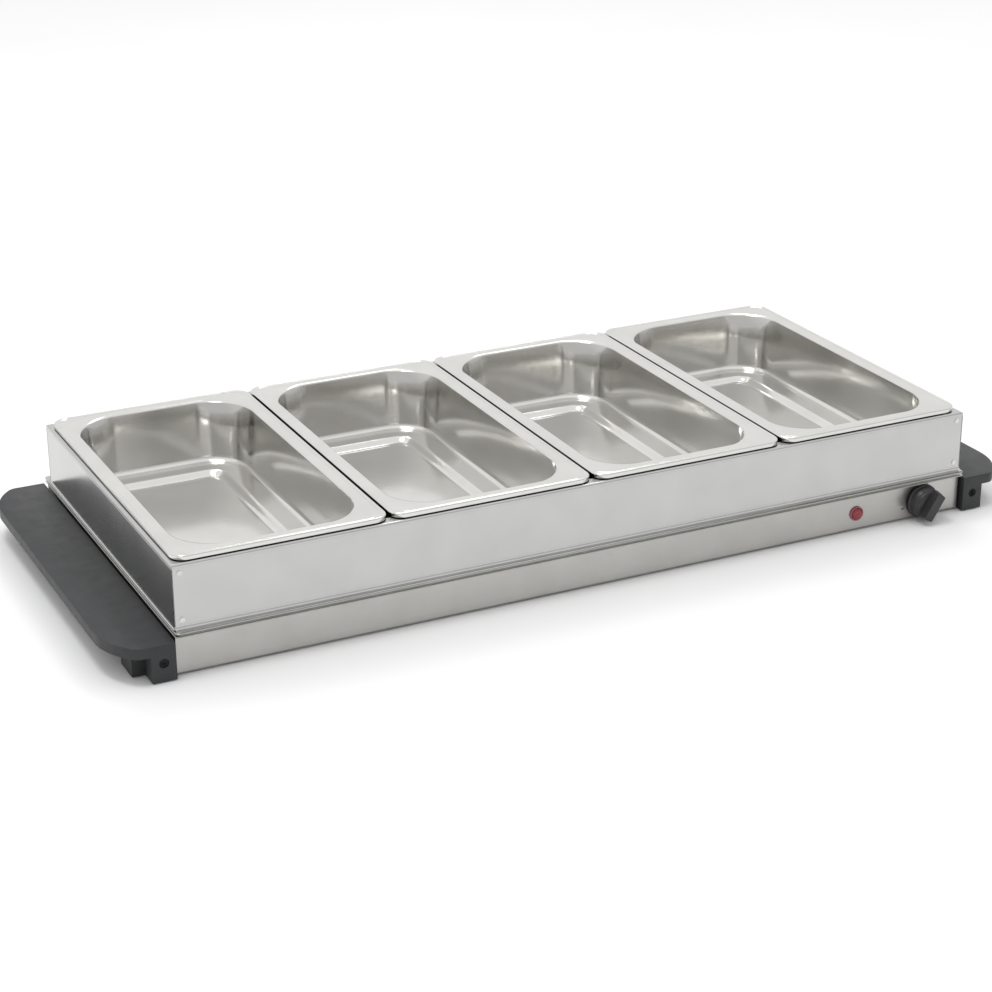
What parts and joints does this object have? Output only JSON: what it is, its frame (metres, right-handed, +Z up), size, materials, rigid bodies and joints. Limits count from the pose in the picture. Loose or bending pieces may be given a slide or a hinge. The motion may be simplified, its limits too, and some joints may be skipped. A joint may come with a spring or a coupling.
{
  "type": "electric buffet server",
  "caption": "Low electric warming base with moulded end handles, a turn-knob heat control and a lift-off steel frame holding open food pans.",
  "frame": {"origin": "centre of the overall box in plan, at the underside of the rubber foot pads", "axes": "+X along the row of pans towards the control knob's end, +Y from the knob's side to the back, +Z up"},
  "size_m": [0.8218, 0.3657, 0.0959],
  "materials": {
    "base_steel": "satin brushed stainless steel",
    "frame_steel": "satin stainless steel",
    "pan_steel": "soft satin pressed stainless steel",
    "rivet_steel": "satin",
    "handle_plastic": "fine-grained black moulding",
    "knob_plastic": "smooth black moulding",
    "lens_red": "clear red lens",
    "bezel_plastic": "tinted ring",
    "foot_rubber": "matt",
    "screw_steel": "bright plated",
    "zinc_sheet": "plated sheet",
    "element_steel": "dark sheathed tube",
    "terminal_ceramic": "unglazed",
    "reflector_aluminium": "bright sheet",
    "mat_fibre": "woven mineral fibre",
    "thermostat_plastic": "moulded",
    "brass_parts": "turned",
    "wire_brown": "sleeve",
    "wire_black": "sleeve",
    "wire_blue": "sleeve",
    "wire_red": "sleeve",
    "wire_green": "sleeve"
  },
  "bodies": {
    "base": {"warming_plate": "base_steel", "rim_surround": "base_steel", "base_front_panel": "base_steel", "base_back_panel": "base_steel", "base_left_end": "base_steel", "base_right_end": "base_steel", "bottom_cover": "zinc_sheet", "bottom_cover_screws": "screw_steel", "left_handle": "handle_plastic", "right_handle": "handle_plastic", "handle_screws": "screw_steel", "leg_screws": "screw_steel", "foot_pads": "foot_rubber", "heating_element": "element_steel", "element_clamps": "zinc_sheet", "element_terminals": "terminal_ceramic", "heat_reflector": "reflector_aluminium", "reflector_posts": "screw_steel", "insulation_mat": "mat_fibre", "thermostat_body": "thermostat_plastic", "thermostat_bracket": "zinc_sheet", "thermostat_screws": "screw_steel", "indicator_lens": "lens_red", "indicator_bezel": "bezel_plastic", "indicator_body": "terminal_ceramic", "thermal_fuse": "terminal_ceramic", "terminal_block": "terminal_ceramic", "terminal_screws": "brass_parts", "earth_stud": "brass_parts", "live_wire": "wire_brown", "switched_wire": "wire_black", "neutral_wire": "wire_blue", "lamp_leads": "wire_red", "earth_wire": "wire_green", "cord_inlet_bush": "foot_rubber"},
    "tray_frame": {"frame_front_panel": "frame_steel", "frame_back_panel": "frame_steel", "frame_left_panel": "frame_steel", "frame_right_panel": "frame_steel", "frame_rivets": "rivet_steel"},
    "knob": {"control_knob": "knob_plastic", "thermostat_shaft": "screw_steel"},
    "pan_body_1": {"pan_1": "pan_steel"},
    "pan_body_2": {"pan_2": "pan_steel"},
    "pan_body_3": {"pan_3": "pan_steel"},
    "pan_body_4": {"pan_4": "pan_steel"}
  },
  "joints": [
    {"name": "frame_lift", "type": "slide", "parent": "base", "child": "tray_frame", "axis": [0, 0, 1], "range_m": [0, 0.12]},
    {"name": "knob_turn", "type": "hinge", "parent": "base", "child": "knob", "pos_m": [0.3204, -0.16155, 0.0163], "axis": [0, 1, 0], "range_deg": [0, 290]},
    {"name": "pan_1_lift", "type": "slide", "parent": "tray_frame", "child": "pan_body_1", "axis": [0, 0, 1], "range_m": [0, 0.1]},
    {"name": "pan_2_lift", "type": "slide", "parent": "tray_frame", "child": "pan_body_2", "axis": [0, 0, 1], "range_m": [0, 0.1]},
    {"name": "pan_3_lift", "type": "slide", "parent": "tray_frame", "child": "pan_body_3", "axis": [0, 0, 1], "range_m": [0, 0.1]},
    {"name": "pan_4_lift", "type": "slide", "parent": "tray_frame", "child": "pan_body_4", "axis": [0, 0, 1], "range_m": [0, 0.1]}
  ]
}
